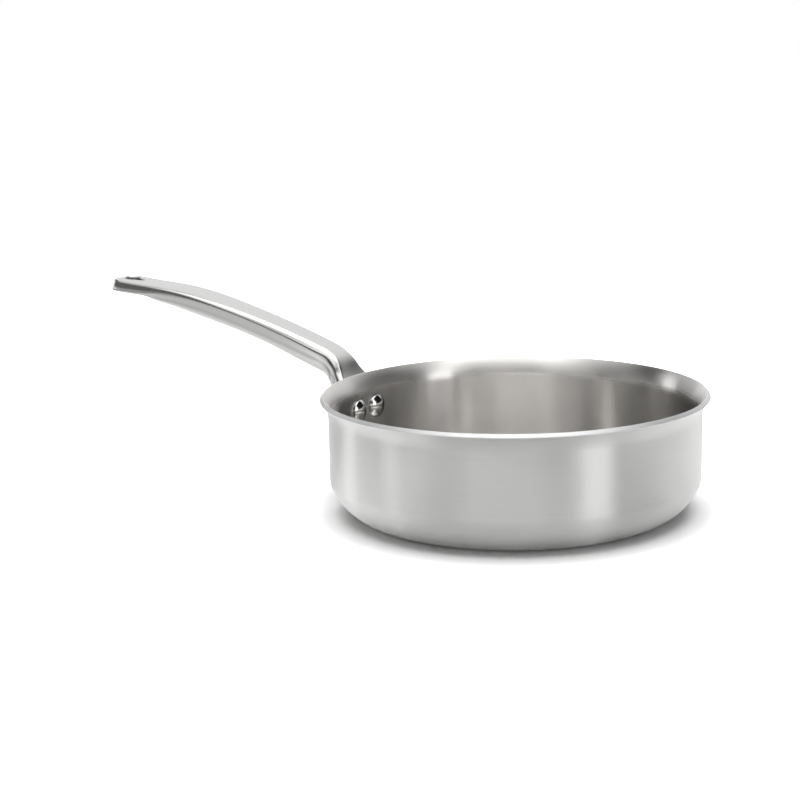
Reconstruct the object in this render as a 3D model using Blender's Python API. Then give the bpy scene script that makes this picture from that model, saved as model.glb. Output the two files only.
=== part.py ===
# Saute pan: clad steel body, cast handle and two rivets.
# Metres, +Z up. The origin is the centre of the flat base, and the handle lies along -X.

import bpy
import bmesh
from collections import namedtuple
from math import acos, asin, cos, pi, radians, sin, sqrt
from mathutils import Matrix, Vector

# Body
WALL_RADIUS = 0.1200          # outer face of the straight wall
PAN_HEIGHT = 0.0774           # table to the highest point of the lip
BASE_RADIUS = 0.0973          # flat that stands on the hob
CORNER_HEIGHT = 0.0242        # where the rounded corner meets the straight wall
CORNER_WEIGHT = 0.43          # fullness of the corner: 0.71 is an ellipse, less is softer
LIP_RADIUS = 0.0146           # flare of the pouring lip, on the outer face
LIP_ANGLE = radians(50)       # how far the lip turns out from the vertical
OUTER_PLY = 0.0006            # magnetic steel that meets the hob
CORE_PLY = 0.0013             # aluminium that spreads the heat
INNER_PLY = 0.0006            # steel that meets the food
PLY_GAP = 0.0003              # clearance drawn between neighbouring plies

# Rivets
RIVET_PITCH = 0.0206          # between the two rivets, along the wall
RIVET_DROP = 0.0234           # lip down to the rivets
RIVET_STEM_RADIUS = 0.0030
RIVET_HEAD_RADIUS = 0.0077    # domed head inside the pan
RIVET_HEAD_HEIGHT = 0.0039
RIVET_HEAD_ROLL = 0.0009      # rounding of the head's border
RIVET_HEAD_EDGE = 0.0004      # straight edge under that rounding
RIVET_TAIL_RADIUS = 0.0052    # formed tail outside, on the flange
RIVET_TAIL_HEIGHT = 0.0021
RIVET_TAIL_ROLL = 0.0006
RIVET_TAIL_EDGE = 0.0003
FIT_GAP = 0.0003              # clearance between touching pieces

# Handle
FLANGE_THICKNESS = 0.0036
FLANGE_SIDE = 0.0082          # rivet to the side edge of the flange
FLANGE_LOW = 0.0120           # rivets down to the lower edge of the flange
FLANGE_ROUND = 0.0100         # length of the rounding at the lower edge
FLANGE_FULLNESS = 2.5         # superellipse power of that rounding
LIP_CLEARANCE = 0.0016        # between the lip's outer edge and the handle
LEAVE_RUN = 0.0120            # length of each stretch of the handle, from the flange out
THROAT_RUN = 0.0125
BEND_RUN = 0.0120
NECK_RUN = 0.0105
ARM_RUN = 0.0520
GRIP_RUN = 0.0500
SWELL_RUN = 0.0425
LEVEL_RUN = 0.0175
TONGUE_RUN = 0.0312
LEAN_REACH = 0.0150           # a section leans to the mean slope of this much on either side
TIP_ROUND = 0.0100            # length of the rounding at the tip
TIP_FULLNESS = 2.7
HOLE_SETBACK = 0.0108         # tip to the middle of the hanging hole
HOLE_RADIUS = 0.0056
HOLE_POINT = 0.0115           # middle of the hole to its pointed end
HOLE_POINT_RADIUS = 0.0012

# Fineness of the round shapes
WALL_SEGMENTS = 64
CORNER_STEPS = 6
LIP_STEPS = 4
RIVET_SEGMENTS = 24
DOME_STEPS = 3
ROLL_STEPS = 2
CUTTER_SEGMENTS = 20
HOLE_STEPS = 14
HOLE_POINT_STEPS = 4
SPINE_STEPS = 24              # straight pieces of the spine in each stretch
SHOULDER_STEPS = 3
BELLY_STEPS = 5
FLANGE_END_STEPS = 6
TIP_END_STEPS = 8
FLANGE_END_TURN = radians(82) # how far round the end's curve its last section lies
TIP_END_TURN = radians(85)
BEND_SPACING = 0.0035         # between sections round the bends
ARM_SPACING = 0.0070          # between sections along the arm
TOP_SHARE = 0.55              # place of the middle point on each half of the top face
LEAN_SPOTS = 6                # places on either side where the slope is read for the mean

WALL_THICKNESS = OUTER_PLY + PLY_GAP + CORE_PLY + PLY_GAP + INNER_PLY
LIP_START = PAN_HEIGHT - (LIP_RADIUS + WALL_THICKNESS) * sin(LIP_ANGLE)
LIP_EDGE_RADIUS = WALL_RADIUS + LIP_RADIUS * (1 - cos(LIP_ANGLE))
LIP_EDGE_HEIGHT = LIP_START + LIP_RADIUS * sin(LIP_ANGLE)
RIVET_HEIGHT = PAN_HEIGHT - RIVET_DROP
FLANGE_RADIUS = WALL_RADIUS + FIT_GAP
FLANGE_HALF_WIDTH = RIVET_PITCH / 2 + FLANGE_SIDE
RIVET_HOLE_RADIUS = RIVET_STEM_RADIUS + FIT_GAP

# One cross-section of the handle. Across its width: half the flat top, the shoulder that leads
# out and down to the widest point, an upright wall, a side that draws in, and a belly. run is
# the length from the section before, slope the rise of the handle there, crown how far the
# middle of the top stands proud, bevel the shoulder's fullness (2 is a round, below 2 a bevel),
# wrap how far the section follows the round wall. The first two sections are the flange, and
# the run between them is worked out in Spine, so that the handle passes the lip at
# LIP_CLEARANCE.
Station = namedtuple("Station", "run slope top crown out drop bevel wall draft side depth square wrap")

EDGE = 0.0008                 # rounded edge of the flange
FLANGE_TOP = FLANGE_HALF_WIDTH - EDGE
FLANGE_WALL = FLANGE_THICKNESS - 2 * EDGE
FLANGE = (FLANGE_TOP, 0, EDGE, EDGE, 2, FLANGE_WALL, 0, 0, FLANGE_THICKNESS, 6, 1)

STATIONS = (
    Station(0, 90, *FLANGE),
    Station(None, 90, *FLANGE),
    Station(LEAVE_RUN, 50, 0.0142, 0, 0.0022, 0.0028, 2.0, 0.0010, 0.0006, 0.0024, 0.0105, 3.0, 0.8),
    Station(THROAT_RUN, 64, 0.0093, 0, 0.0038, 0.0046, 1.7, 0.0005, 0.0009, 0.0026, 0.0170, 2.3, 0.2),
    Station(BEND_RUN, 32, 0.0076, 0, 0.0043, 0.0054, 1.5, 0.0004, 0.0010, 0.0023, 0.0190, 2.2, 0),
    Station(NECK_RUN, 18.5, 0.0079, 0, 0.0044, 0.0046, 1.4, 0.0004, 0.0010, 0.0034, 0.0190, 2.2, 0),
    Station(ARM_RUN, 15.0, 0.0085, 0, 0.0041, 0.0036, 1.4, 0.0004, 0.0010, 0.0050, 0.0172, 2.2, 0),
    Station(GRIP_RUN, 11.3, 0.0103, 0, 0.0035, 0.0031, 1.5, 0.0006, 0.0009, 0.0044, 0.0166, 2.3, 0),
    Station(SWELL_RUN, 3.4, 0.0121, 0.0003, 0.0029, 0.0038, 1.8, 0.0009, 0.0008, 0.0026, 0.0124, 2.6, 0),
    Station(LEVEL_RUN, 3.4, 0.0125, 0.0005, 0.0031, 0.0054, 1.6, 0.0006, 0.0004, 0.0008, 0.0080, 3.2, 0),
    Station(TONGUE_RUN, 6.0, 0.0127, 0.0007, 0.0033, 0.0068, 1.5, 0.0004, 0.0001, 0.0003, 0.0082, 4.0, 0),
)


# Scene helpers

def clear_scene():
    for stale in list(bpy.data.objects):
        bpy.data.objects.remove(stale, do_unlink=True)


def steel(name, colour, roughness):
    material = bpy.data.materials.new(name)
    material.use_nodes = True
    shader = material.node_tree.nodes["Principled BSDF"]
    shader.inputs["Base Color"].default_value = (*colour, 1)
    shader.inputs["Metallic"].default_value = 1
    shader.inputs["Roughness"].default_value = roughness
    return material


def add_object(name, mesh, material, parent, smooth_angle=radians(35)):
    piece = bpy.data.objects.new(name, mesh)
    bpy.context.scene.collection.objects.link(piece)
    mesh.materials.append(material)
    mesh.shade_smooth()
    mesh.set_sharp_from_angle(angle=smooth_angle)
    piece.parent = parent
    return piece


def skin_loops(name, loops):
    # Closed body through equal loops of points. An end loop of one point closes in a pole,
    # and any other end loop closes in a flat face.
    mesh = bpy.data.meshes.new(name)
    shape = bmesh.new()
    rows = [[shape.verts.new(point) for point in loop] for loop in loops]
    for low, high in zip(rows, rows[1:]):
        count = max(len(low), len(high))
        for i in range(count):
            j = (i + 1) % count
            corners = [low[i % len(low)], low[j % len(low)], high[j % len(high)], high[i % len(high)]]
            shape.faces.new(list(dict.fromkeys(corners)))
    for end in (rows[0], rows[-1]):
        if len(end) > 1:
            shape.faces.new(end)
    bmesh.ops.recalc_face_normals(shape, faces=shape.faces)
    shape.to_mesh(mesh)
    shape.free()
    return mesh


def turned(name, profile, segments):
    # Body turned round Z from a profile of (radius, height) points
    loops = []
    for radius, height in profile:
        if radius == 0:
            loops.append([(0, 0, height)])
            continue
        angles = [2 * pi * i / segments for i in range(segments)]
        loops.append([(radius * cos(a), radius * sin(a), height) for a in angles])
    return skin_loops(name, loops)


def add_cutter(name, mesh, matrix):
    cutter = bpy.data.objects.new(name, mesh)
    bpy.context.scene.collection.objects.link(cutter)
    cutter.matrix_world = matrix
    cutter.hide_render = True
    cutter.display_type = "WIRE"
    return cutter


def cut(piece, cutter):
    modifier = piece.modifiers.new(cutter.name, "BOOLEAN")
    modifier.operation = "DIFFERENCE"
    modifier.solver = "EXACT"
    modifier.object = cutter


# Body

def corner_points():
    # Rounded corner of the outer face as a conic, from the base up to the wall, with its
    # inward normal at each point
    start = Vector((BASE_RADIUS, 0))
    knee = Vector((WALL_RADIUS, 0))
    end = Vector((WALL_RADIUS, CORNER_HEIGHT))
    points = []
    for i in range(CORNER_STEPS + 1):
        t = i / CORNER_STEPS
        a, b, c = (1 - t) ** 2, 2 * t * (1 - t) * CORNER_WEIGHT, t ** 2
        point = (a * start + b * knee + c * end) / (a + b + c)
        da, db, dc = -2 * (1 - t), 2 * (1 - 2 * t) * CORNER_WEIGHT, 2 * t
        run = (da * start + db * knee + dc * end) - (da + db + dc) * point
        run.normalize()
        points.append((point, Vector((-run.y, run.x))))
    return points


def body_face(inset):
    # (radius, height) points of the layer that lies inset inside the outer face
    points = [tuple(point + normal * inset) for point, normal in corner_points()]
    for i in range(LIP_STEPS + 1):
        turn = LIP_ANGLE * i / LIP_STEPS
        reach = LIP_RADIUS + inset
        radius = WALL_RADIUS + LIP_RADIUS - reach * cos(turn)
        points.append((radius, LIP_START + reach * sin(turn)))
    return points


def ply(name, inset, thickness, material, parent):
    outside = body_face(inset)
    inside = body_face(inset + thickness)
    mesh = turned(name, outside + inside[::-1], WALL_SEGMENTS)
    return add_object(name, mesh, material, parent)


# Rivets

def rivet_angles():
    half = RIVET_PITCH / 2 / WALL_RADIUS
    return {"rivet_left": pi + half, "rivet_right": pi - half}


def rivet_matrix(angle):
    # The rivet's own Z points out through the wall, with its origin on the pan's axis
    turn = Matrix.Rotation(angle, 4, "Z") @ Matrix.Rotation(pi / 2, 4, "Y")
    return Matrix.Translation((0, 0, RIVET_HEIGHT)) @ turn


def dome(radius, height, roll, edge):
    # (radius, rise) points of a domed end, from its straight edge over its rolled border to its
    # top. The ball of the dome is the one that the roll runs into smoothly.
    rise = height - edge
    ball = ((radius - roll) ** 2 + rise ** 2 - roll ** 2) / (2 * (rise - roll))
    meet = asin((radius - roll) / (ball - roll))
    points = []
    for i in range(ROLL_STEPS):
        a = pi / 2 + (meet - pi / 2) * i / ROLL_STEPS
        points.append((radius - roll + roll * sin(a), edge + roll * cos(a)))
    for i in range(DOME_STEPS):
        a = meet * (1 - i / DOME_STEPS)
        points.append((ball * sin(a), height - ball * (1 - cos(a))))
    return points + [(0, height)]


def rivet_profile():
    # The head's flat underside clears the hollow wall, whose flats stand nearer the axis
    inner_flat = (WALL_RADIUS - WALL_THICKNESS) * cos(pi / WALL_SEGMENTS)
    head_seat = sqrt(inner_flat ** 2 - RIVET_HEAD_RADIUS ** 2) - FIT_GAP
    tail_seat = FLANGE_RADIUS + FLANGE_THICKNESS + FIT_GAP
    head = dome(RIVET_HEAD_RADIUS, RIVET_HEAD_HEIGHT, RIVET_HEAD_ROLL, RIVET_HEAD_EDGE)
    tail = dome(RIVET_TAIL_RADIUS, RIVET_TAIL_HEIGHT, RIVET_TAIL_ROLL, RIVET_TAIL_EDGE)
    stem = [(RIVET_HEAD_RADIUS, head_seat), (RIVET_STEM_RADIUS, head_seat),
            (RIVET_STEM_RADIUS, tail_seat), (RIVET_TAIL_RADIUS, tail_seat)]
    return ([(r, head_seat - rise) for r, rise in head[::-1]] + stem
            + [(r, tail_seat + rise) for r, rise in tail])


def add_rivet(name, angle, material, parent):
    # The mesh is drawn about the rivet's place in the wall, where the object's origin sits
    mesh = turned(name, [(r, h - WALL_RADIUS) for r, h in rivet_profile()], RIVET_SEGMENTS)
    piece = add_object(name, mesh, material, parent)
    piece.matrix_world = rivet_matrix(angle) @ Matrix.Translation((0, 0, WALL_RADIUS))
    return piece


def rivet_cutter(name, angle):
    # Runs out past the wall on the inside and past the flange on the outside
    inner = WALL_RADIUS - 2 * WALL_THICKNESS
    outer = FLANGE_RADIUS + 2 * FLANGE_THICKNESS
    profile = [(RIVET_HOLE_RADIUS, inner), (RIVET_HOLE_RADIUS, outer)]
    mesh = turned(name, profile, CUTTER_SEGMENTS)
    return add_cutter(name, mesh, rivet_matrix(angle))


# Handle

def smooth_through(places, values):
    # Curve through the values at their places that never swings past them
    rises = [(b - a) / (q - p) for a, b, p, q in zip(values, values[1:], places, places[1:])]
    tangents = [rises[0]]
    for left, right in zip(rises, rises[1:]):
        tangents.append(0 if left * right <= 0 else 2 * left * right / (left + right))
    tangents.append(rises[-1])

    def at(place):
        i = max(k for k in range(len(places) - 1) if places[k] <= place or k == 0)
        span = places[i + 1] - places[i]
        t = min(max((place - places[i]) / span, 0), 1)
        return ((1 + 2 * t) * (1 - t) ** 2 * values[i] + t * (1 - t) ** 2 * span * tangents[i]
                + t * t * (3 - 2 * t) * values[i + 1] - t * t * (1 - t) * span * tangents[i + 1])
    return at


def trace(start, runs, slopes):
    # Spine points (reach, height, slope, length so far); the slope turns evenly along a run
    reach, height = start
    length = 0
    points = [(reach, height, slopes[0], 0)]
    for run, low, high in zip(runs, slopes, slopes[1:]):
        step = run / SPINE_STEPS
        turn = (high - low) / SPINE_STEPS
        for i in range(SPINE_STEPS):
            slope = low + turn * (i + 0.5)
            reach += step * cos(slope)
            height += step * sin(slope)
            length += step
            points.append((reach, height, low + turn * (i + 1), length))
    return points


def flange_top_height():
    # The stretch that leaves the wall is set so low that it passes the lip at LIP_CLEARANCE
    slopes = [radians(s.slope) for s in STATIONS[1:]]
    runs = [s.run for s in STATIONS[2:]]
    free = trace((FLANGE_RADIUS, 0), runs, slopes)
    target = LIP_EDGE_RADIUS + LIP_CLEARANCE
    for (r0, h0, _, _), (r1, h1, _, _) in zip(free, free[1:]):
        if r0 <= target <= r1:
            share = (target - r0) / (r1 - r0)
            return LIP_EDGE_HEIGHT - (h0 + (h1 - h0) * share)


class Spine:
    # The line along the middle of the handle's top face, and its section at any length
    def __init__(self):
        low = RIVET_HEIGHT - FLANGE_LOW
        runs = [flange_top_height() - low] + [s.run for s in STATIONS[2:]]
        slopes = [radians(s.slope) for s in STATIONS]
        self.points = trace((FLANGE_RADIUS, low), runs, slopes)
        self.length = sum(runs)
        places = [sum(runs[:i]) for i in range(len(STATIONS))]
        fields = Station._fields[2:]
        self.curves = {f: smooth_through(places, [getattr(s, f) for s in STATIONS]) for f in fields}

    def frame(self, length):
        for a, b in zip(self.points, self.points[1:]):
            if a[3] <= length <= b[3] + 1e-9:
                t = (length - a[3]) / (b[3] - a[3])
                return tuple(p + (q - p) * t for p, q in zip(a[:3], b[:3]))

    def section(self, length):
        return Station(0, 0, *(self.curves[f](length) for f in Station._fields[2:]))

    def lean(self, length):
        # Mean slope nearby, so that the sections don't crowd together under the bend
        spots = [length + LEAN_REACH * k / LEAN_SPOTS for k in range(-LEAN_SPOTS, LEAN_SPOTS + 1)]
        return sum(self.frame(min(max(s, 0), self.length))[2] for s in spots) / len(spots)


def half_outline(s):
    # (across, down) points from the middle of the top face to the middle of the belly
    points = [(0, -s.crown), (s.top * TOP_SHARE, -s.crown * (1 - TOP_SHARE ** 2)), (s.top, 0)]
    for i in range(1, SHOULDER_STEPS + 1):
        a = pi / 2 * i / SHOULDER_STEPS
        points.append((s.top + s.out * sin(a) ** (2 / s.bevel),
                       s.drop * (1 - max(cos(a), 0) ** (2 / s.bevel))))
    wide = s.top + s.out
    low = s.drop + s.wall
    points.append((wide, low))
    wide -= s.draft
    low += s.side
    for i in range(BELLY_STEPS + 1):
        a = pi / 2 * i / BELLY_STEPS
        points.append((wide * max(cos(a), 0) ** (2 / s.square),
                       low + (s.depth - low) * sin(a) ** (2 / s.square)))
    points[-1] = (0, s.depth)
    return points


def rounding(length, spine):
    # Share of the full width at the rounded ends of the handle
    share = 1.0
    for rest, size, power in ((length, FLANGE_ROUND, FLANGE_FULLNESS),
                              (spine.length - length, TIP_ROUND, TIP_FULLNESS)):
        if rest < size:
            share *= max(1 - (1 - rest / size) ** power, 0) ** (1 / power)
    return share


def handle_lengths(spine):
    # Where the sections are drawn: close together at both ends and round the bends
    def end(size, power, steps, last):
        turns = [last * i / steps for i in range(steps, 0, -1)]
        return [size * (1 - sin(t) ** (2 / power)) for t in turns]
    low = end(FLANGE_ROUND, FLANGE_FULLNESS, FLANGE_END_STEPS, FLANGE_END_TURN)
    high = end(TIP_ROUND, TIP_FULLNESS, TIP_END_STEPS, TIP_END_TURN)
    middle = []
    place = FLANGE_ROUND
    tip_start = spine.length - TIP_ROUND
    arm_start = 2 * FLANGE_ROUND + LEAVE_RUN + THROAT_RUN + BEND_RUN + NECK_RUN
    while place < tip_start - BEND_SPACING / 2:
        middle.append(place)
        place += BEND_SPACING if place < arm_start else ARM_SPACING
    middle.append(tip_start)
    return low + middle + [spine.length - rest for rest in high[::-1]]


def place_on_handle(spine, length, across, down):
    reach, height, _ = spine.frame(length)
    lean = spine.lean(length)
    radius = reach + down * sin(lean)
    rise = height - down * cos(lean)
    angle = across / FLANGE_RADIUS
    flat = Vector((-radius, across, rise))
    bent = Vector((-radius * cos(angle), radius * sin(angle), rise))
    return flat.lerp(bent, spine.section(length).wrap)


def handle_mesh(spine):
    loops = []
    for length in handle_lengths(spine):
        section = spine.section(length)
        half = half_outline(section)
        outline = half + [(-across, down) for across, down in half[-2:0:-1]]
        share = rounding(length, spine)
        # The top rolls over at the very tip, as deep as the shoulder drops
        rest = min((spine.length - length) / section.out, 1)
        rolled = 1 - sqrt(1 - (1 - rest) ** 2)
        top = rolled * (section.drop + section.crown) - section.crown
        loops.append([place_on_handle(spine, length, a * share, max(d, top)) for a, d in outline])
    return skin_loops("handle", loops)


def hanging_hole_cutter(spine):
    # Teardrop through the tongue, with its point towards the pan
    length = spine.length - HOLE_SETBACK
    reach, height, slope = spine.frame(length)
    middle = HOLE_POINT - HOLE_POINT_RADIUS
    lean = acos((HOLE_RADIUS - HOLE_POINT_RADIUS) / middle)
    outline = []
    for i in range(HOLE_STEPS + 1):
        a = lean + 2 * (pi - lean) * i / HOLE_STEPS
        outline.append((HOLE_RADIUS * cos(a), HOLE_RADIUS * sin(a)))
    for i in range(HOLE_POINT_STEPS + 1):
        a = 2 * lean * i / HOLE_POINT_STEPS - lean
        outline.append((middle + HOLE_POINT_RADIUS * cos(a), HOLE_POINT_RADIUS * sin(a)))
    through = spine.section(length).depth * 2
    loops = [[(x, y, z) for x, y in outline] for z in (-through, through)]
    matrix = Matrix.Translation((-reach, 0, height)) @ Matrix.Rotation(slope, 4, "Y")
    return add_cutter("hanging_hole_cutter", skin_loops("hanging_hole_cutter", loops), matrix)


def build():
    clear_scene()
    pan = bpy.data.objects.new("saute_pan", None)
    bpy.context.scene.collection.objects.link(pan)

    brushed = steel("brushed_steel", (0.60, 0.59, 0.57), 0.34)
    cooking = steel("fine_brushed_steel", (0.58, 0.57, 0.55), 0.30)
    aluminium = steel("aluminium", (0.80, 0.80, 0.82), 0.40)
    satin = steel("satin_cast_steel", (0.63, 0.62, 0.60), 0.28)
    polished = steel("polished_steel", (0.66, 0.65, 0.63), 0.12)

    core_inset = OUTER_PLY + PLY_GAP
    inner_inset = core_inset + CORE_PLY + PLY_GAP
    plies = [ply("outer_ply", 0, OUTER_PLY, brushed, pan),
             ply("core_ply", core_inset, CORE_PLY, aluminium, pan),
             ply("inner_ply", inner_inset, INNER_PLY, cooking, pan)]

    spine = Spine()
    handle = add_object("handle", handle_mesh(spine), satin, pan, radians(28))
    cut(handle, hanging_hole_cutter(spine))

    for name, angle in rivet_angles().items():
        add_rivet(name, angle, polished, pan)
        cutter = rivet_cutter(name + "_hole", angle)
        for piece in plies + [handle]:
            cut(piece, cutter)


build()
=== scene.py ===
# Saute pan: the look of a clad steel pan with a cast handle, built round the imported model.
# Metres, +Z up. The handle lies along -X.
from math import acos, asin, atan2, cos, degrees, pi, radians, sin, sqrt, tau

import bmesh
import bpy
from mathutils import Matrix, Vector


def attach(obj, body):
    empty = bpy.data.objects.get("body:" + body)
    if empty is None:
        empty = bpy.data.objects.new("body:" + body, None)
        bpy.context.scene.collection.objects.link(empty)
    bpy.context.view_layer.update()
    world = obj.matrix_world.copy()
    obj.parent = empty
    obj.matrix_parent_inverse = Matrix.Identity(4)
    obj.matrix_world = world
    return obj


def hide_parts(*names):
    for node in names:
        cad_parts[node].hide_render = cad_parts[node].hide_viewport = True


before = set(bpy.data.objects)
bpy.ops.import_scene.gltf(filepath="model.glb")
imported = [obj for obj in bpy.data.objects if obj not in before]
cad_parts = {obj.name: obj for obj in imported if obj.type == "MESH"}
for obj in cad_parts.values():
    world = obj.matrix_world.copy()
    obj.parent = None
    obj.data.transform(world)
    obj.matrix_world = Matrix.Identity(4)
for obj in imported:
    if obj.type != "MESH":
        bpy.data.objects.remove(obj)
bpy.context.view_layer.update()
scene = bpy.context.scene
print("frame loaded")


# Small helpers

def addNode(tree, kind, inputs=None, **settings):
    # One node with its settings; an input takes a value or another node's output
    node = tree.nodes.new(kind)
    for name, value in settings.items():
        setattr(node, name, value)
    for socket, value in (inputs or {}).items():
        if isinstance(value, bpy.types.NodeSocket):
            tree.links.new(value, node.inputs[socket])
        else:
            node.inputs[socket].default_value = value
    return node


def linear(hexCode):
    # sRGB hex to the linear colour that Blender's sockets take
    parts = [int(hexCode[i:i + 2], 16) / 255 for i in (1, 3, 5)]
    return (*[p / 12.92 if p <= 0.04045 else ((p + 0.055) / 1.055) ** 2.4 for p in parts], 1)


def addObject(name, data):
    made = bpy.data.objects.new(name, data)
    scene.collection.objects.link(made)
    return made


def millimetres(value):
    return value / 1000


weldDistance = millimetres(0.002)    # points closer than this become one


def plainMesh(rough):
    # The object's shape with its modifiers worked in; the rough object goes
    bpy.context.view_layer.update()
    evaluated = rough.evaluated_get(bpy.context.evaluated_depsgraph_get())
    shape = bpy.data.meshes.new_from_object(evaluated)
    bpy.data.objects.remove(rough)
    return shape


def finishPiece(rough, name, node, creaseAngle):
    # A closed, smooth mesh at the origin, handed to the frame in the place of its node
    shape = plainMesh(rough)
    work = bmesh.new()
    work.from_mesh(shape)
    bmesh.ops.remove_doubles(work, verts=work.verts, dist=weldDistance)
    bmesh.ops.recalc_face_normals(work, faces=work.faces)
    work.to_mesh(shape)
    work.free()
    shape.shade_smooth()
    shape.set_sharp_from_angle(angle=radians(creaseAngle))
    piece = addObject(name, shape)
    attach(piece, "root")
    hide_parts(node)
    print(f"{name}: {len(shape.polygons)} faces")


# Materials

noiseLow, noiseHigh = 0.3, 0.7       # nearly all of a noise lies between these
bumpHeight = millimetres(0.2)        # what a bump of strength 1 stands for


def steelTree(name, colour, roughness, anisotropy):
    material = bpy.data.materials.new(name)
    material.use_nodes = True
    tree = material.node_tree
    shader = tree.nodes["Principled BSDF"]
    shader.inputs["Metallic"].default_value = 1
    shader.inputs["Anisotropic"].default_value = anisotropy
    shader.inputs["Anisotropic Rotation"].default_value = 0.25    # wide across the brush marks
    shader.inputs["Roughness"].default_value = roughness
    shader.inputs["Base Color"].default_value = linear(colour)
    return material, tree, shader


# Stainless steel, spun to shape and then brushed on the lathe. The brush leaves fine rings round
# the axis, so a lamp is drawn out up and down the wall and stays sharp from side to side.
brushing = {
    "colour": "#DADAD9",
    "shade": "#D2D2D1",      # between the rings
    "roughness": 0.37,
    "anisotropy": 1.0,
    "ringSpacing": 0.9,      # mm; real rings stand 0.1 apart, too fine for the render
    "streakLength": 34,      # mm along a ring
    "streakRadius": 120,     # mm; the ring on which the streaks are that long
    "bump": 0.05,
    "patchesPerMetre": 22,   # cloudy patches, where the brush was pressed more or less
    "patchSpread": 0.03,     # change of roughness in them, either way
    "lipHeights": (62, 72),  # mm; up there the flared lip was spun after the brushing,
    "lipRoughness": 0.0,     # and is rougher by this much
}
cookingFinish = dict(brushing, colour="#DCDAD8", shade="#D1CFCC", roughness=0.21,
                     lipRoughness=0.14)


def brushedSteel(name, finish):
    roughness = finish["roughness"]
    material, tree, shader = steelTree(name, finish["colour"], roughness, finish["anisotropy"])
    place = addNode(tree, "ShaderNodeTexCoord")
    axes = addNode(tree, "ShaderNodeSeparateXYZ", {0: place.outputs["Object"]})
    flat = addNode(tree, "ShaderNodeCombineXYZ", {"X": axes.outputs["X"], "Y": axes.outputs["Y"]})
    radius = addNode(tree, "ShaderNodeVectorMath", {0: flat.outputs[0]}, operation="LENGTH")
    outward = addNode(tree, "ShaderNodeVectorMath", {0: flat.outputs[0]}, operation="NORMALIZE")
    streaks = finish["streakRadius"] / finish["streakLength"]
    around = addNode(tree, "ShaderNodeVectorMath", {0: outward.outputs[0], "Scale": streaks},
                     operation="SCALE")
    along = addNode(tree, "ShaderNodeMath", {0: axes.outputs["Z"], 1: radius.outputs["Value"]},
                    operation="ADD")
    rings = addNode(tree, "ShaderNodeMath",
                    {0: along.outputs[0], 1: 1 / millimetres(finish["ringSpacing"])},
                    operation="MULTIPLY")
    lift = addNode(tree, "ShaderNodeCombineXYZ", {"Z": rings.outputs[0]})
    grain = addNode(tree, "ShaderNodeVectorMath", {0: around.outputs[0], 1: lift.outputs[0]},
                    operation="ADD")
    noise = addNode(tree, "ShaderNodeTexNoise",
                    {"Vector": grain.outputs[0], "Scale": 1, "Detail": 3, "Roughness": 0.65})
    patches = addNode(tree, "ShaderNodeTexNoise",
                      {"Vector": place.outputs["Object"], "Scale": finish["patchesPerMetre"],
                       "Detail": 2})
    tint = addNode(tree, "ShaderNodeMix",
                   {0: noise.outputs["Fac"], 6: linear(finish["colour"]),
                    7: linear(finish["shade"])}, data_type="RGBA")
    tree.links.new(tint.outputs[2], shader.inputs["Base Color"])
    spread = addNode(tree, "ShaderNodeMapRange",
                     {"Value": patches.outputs["Fac"], "From Min": noiseLow, "From Max": noiseHigh,
                      "To Min": roughness - finish["patchSpread"],
                      "To Max": roughness + finish["patchSpread"]})
    lipStart, lipEnd = [millimetres(height) for height in finish["lipHeights"]]
    flare = addNode(tree, "ShaderNodeMapRange",
                    {"Value": axes.outputs["Z"], "From Min": lipStart, "From Max": lipEnd,
                     "To Max": finish["lipRoughness"]})
    rough = addNode(tree, "ShaderNodeMath",
                    {0: spread.outputs["Result"], 1: flare.outputs["Result"]}, operation="ADD")
    tree.links.new(rough.outputs[0], shader.inputs["Roughness"])
    bump = addNode(tree, "ShaderNodeBump",
                   {"Strength": finish["bump"], "Distance": bumpHeight,
                    "Height": noise.outputs["Fac"]})
    tree.links.new(bump.outputs["Normal"], shader.inputs["Normal"])
    ring = addNode(tree, "ShaderNodeVectorMath", {0: outward.outputs[0], 1: (0, 0, -1)},
                   operation="CROSS_PRODUCT")
    tree.links.new(ring.outputs[0], shader.inputs["Tangent"])
    return material


# The lip's edge, trimmed on the lathe and ground smooth: satin, with short marks from the wheel.
# The aluminium core lies bare there between the two skins of steel.
groundEdge = {
    "steel": "#DCDCDB",
    "aluminium": "#E2E2E3",
    "roughness": (0.42, 0.62),
    "markWidth": 1.1,        # mm
    "turn": 2.4,             # degrees at the end of the lip's bend that are ground
}


def groundMetal(name, colour):
    low, high = groundEdge["roughness"]
    material, tree, shader = steelTree(name, colour, (low + high) / 2, 0)
    place = addNode(tree, "ShaderNodeTexCoord")
    marksPerMetre = 1 / millimetres(groundEdge["markWidth"])
    noise = addNode(tree, "ShaderNodeTexNoise",
                    {"Vector": place.outputs["Object"], "Scale": marksPerMetre, "Detail": 2})
    spread = addNode(tree, "ShaderNodeMapRange",
                     {"Value": noise.outputs["Fac"], "From Min": noiseLow, "From Max": noiseHigh,
                      "To Min": low, "To Max": high})
    tree.links.new(spread.outputs["Result"], shader.inputs["Roughness"])
    return material


# Cast stainless steel. The top face is blasted and lightly brushed to a satin grip, and the
# shoulders and sides are polished, so they carry the lamps as clean bands.
castFinish = {
    "satin": "#D0D0CF", "satinRoughness": 0.36,
    "polished": "#CFCFCD", "polishedRoughness": 0.22,
    "grit": 0.5,             # mm between blasting marks
    "gritDepth": 0.06,
    "sideGritDepth": 0.015,  # what the polish left of them
    "cloudsPerMetre": 60,    # hand polish, a little uneven
    "cloudSpread": 0.1,      # share by which the roughness changes in it, either way
}


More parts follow.
